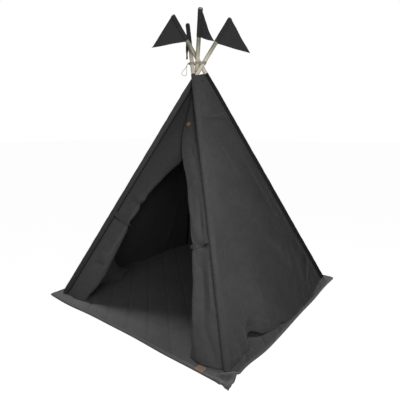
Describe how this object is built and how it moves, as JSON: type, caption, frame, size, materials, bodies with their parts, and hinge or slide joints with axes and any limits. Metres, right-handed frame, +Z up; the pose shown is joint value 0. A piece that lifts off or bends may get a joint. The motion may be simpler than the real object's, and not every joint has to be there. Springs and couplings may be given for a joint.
{
  "type": "teepee tent",
  "caption": "Indoor play teepee: round wooden poles lashed under their tips, a dark canvas cover with tied-back door flaps, pennant flags and a quilted floor mat.",
  "frame": {"origin": "middle of the square floor mat, on the ground under it", "axes": "+Z up; the doorway faces -Y; +X is on the right of someone who stands outside and looks in"},
  "size_m": [1.26, 1.26, 1.5584],
  "materials": {
    "cover_canvas": "matte woven canvas",
    "mat_canvas": "matte quilted canvas",
    "mat_binding": "matte woven tape",
    "flag_canvas": "matte woven canvas",
    "pole_wood": "bare sanded pine",
    "ferrule_metal": "satin drawn tube",
    "button_wood": "oiled dark wood",
    "tag_leather": "tan leather, plain",
    "eyelet_metal": "black lacquer",
    "cord": "twisted natural cord"
  },
  "bodies": {
    "mat": {"mat_pad": "mat_canvas", "mat_binding": "mat_binding", "mat_tag": "tag_leather"},
    "pole_back_left": {"pole_lower_back_left": "pole_wood", "pole_upper_back_left": "pole_wood", "ferrule_back_left": "ferrule_metal", "sleeve_back_left": "cover_canvas", "panel_left": "cover_canvas", "eyelet_left": "eyelet_metal", "panel_back": "cover_canvas", "eyelet_back": "eyelet_metal", "lashing_cord": "cord"},
    "pole_front_left": {"pole_lower_front_left": "pole_wood", "pole_upper_front_left": "pole_wood", "ferrule_front_left": "ferrule_metal", "sleeve_front_left": "cover_canvas"},
    "pole_back_right": {"pole_lower_back_right": "pole_wood", "pole_upper_back_right": "pole_wood", "ferrule_back_right": "ferrule_metal", "sleeve_back_right": "cover_canvas", "panel_right": "cover_canvas", "eyelet_right": "eyelet_metal"},
    "pole_front_right": {"pole_lower_front_right": "pole_wood", "pole_upper_front_right": "pole_wood", "ferrule_front_right": "ferrule_metal", "sleeve_front_right": "cover_canvas"},
    "door_left": {"door_flap_left": "cover_canvas", "door_tie_left": "cover_canvas"},
    "door_right": {"door_flap_right": "cover_canvas", "door_tie_right": "cover_canvas", "door_button": "button_wood"},
    "flag_back_left": {"flag_back_left": "flag_canvas"},
    "flag_front_left": {"flag_front_left": "flag_canvas"},
    "flag_back_right": {"flag_back_right": "flag_canvas"},
    "flag_front_right": {"flag_front_right": "flag_canvas"},
    "cord_loop": {"lashing_loop": "cord"}
  },
  "joints": [
    {"name": "fold", "type": "hinge", "parent": "mat", "child": "pole_back_left", "pos_m": [-0.565, 0.565, 0.02071], "axis": [-0.7203, -0.6936, 0], "range_deg": [0, 31], "deforming": ["sleeve_back_left", "sleeve_front_left", "sleeve_back_right", "sleeve_front_right", "panel_left", "panel_back", "panel_right", "eyelet_left", "eyelet_back", "eyelet_right", "lashing_cord", "lashing_loop", "door_flap_left", "door_flap_right", "door_tie_left", "door_tie_right", "flag_back_left", "flag_front_left", "flag_back_right", "flag_front_right"]},
    {"name": "fold_front_left", "type": "hinge", "parent": "pole_back_left", "child": "pole_front_left", "pos_m": [0.0097, -0.0087, 1.3054], "axis": [0.9212, -0.0233, -0.3883], "range_deg": [0, 43.8]},
    {"name": "fold_back_right", "type": "hinge", "parent": "pole_back_left", "child": "pole_back_right", "pos_m": [0.0078, -0.0125, 1.3242], "axis": [0.0225, 0.9185, 0.3947], "range_deg": [0, 42.25]},
    {"name": "fold_front_right", "type": "hinge", "parent": "pole_back_right", "child": "pole_front_right", "pos_m": [-0.026, -0.02, 1.3368], "axis": [0.9068, 0.05, 0.4185], "range_deg": [0, 33.33]},
    {"name": "door_left_swing", "type": "hinge", "parent": "pole_front_left", "child": "door_left", "pos_m": [-0.565, -0.565, 0.02071], "axis": [-0.3871, -0.3686, -0.8451], "range_deg": [0, 100]},
    {"name": "door_right_swing", "type": "hinge", "parent": "pole_front_right", "child": "door_right", "pos_m": [0.565, -0.565, 0.02071], "axis": [-0.3915, 0.3519, 0.8502], "range_deg": [0, 100]},
    {"name": "flag_back_left_swivel", "type": "hinge", "parent": "pole_back_left", "child": "flag_back_left", "pos_m": [0.07272, -0.09727, 1.48146], "axis": [0.3695, -0.3837, 0.8463], "range_deg": [-25, 25]},
    {"name": "flag_front_left_swivel", "type": "hinge", "parent": "pole_front_left", "child": "flag_front_left", "pos_m": [0.10318, 0.07125, 1.47941], "axis": [0.3871, 0.3686, 0.8451], "range_deg": [-25, 25]},
    {"name": "flag_back_right_swivel", "type": "hinge", "parent": "pole_back_right", "child": "flag_back_right", "pos_m": [-0.07951, -0.07032, 1.49043], "axis": [-0.3734, -0.3681, 0.8515], "range_deg": [-25, 25]},
    {"name": "flag_front_right_swivel", "type": "hinge", "parent": "pole_front_right", "child": "flag_front_right", "pos_m": [-0.11066, 0.04241, 1.48823], "axis": [-0.3915, 0.3519, 0.8502], "range_deg": [-25, 25]},
    {"name": "cord_loop_swing", "type": "hinge", "parent": "pole_back_left", "child": "cord_loop", "pos_m": [-0.04931, -0.04538, 1.312], "axis": [-0.6, 0.8, 0], "range_deg": [-15, 25], "stiffness_Nm_per_rad": 0.002}
  ],
  "couplings": [
    {"joint": "fold_front_left", "follows": "fold", "ratio": 1.4113},
    {"joint": "fold_back_right", "follows": "fold", "ratio": 1.3613},
    {"joint": "fold_front_right", "follows": "fold", "ratio": 1.0736}
  ]
}
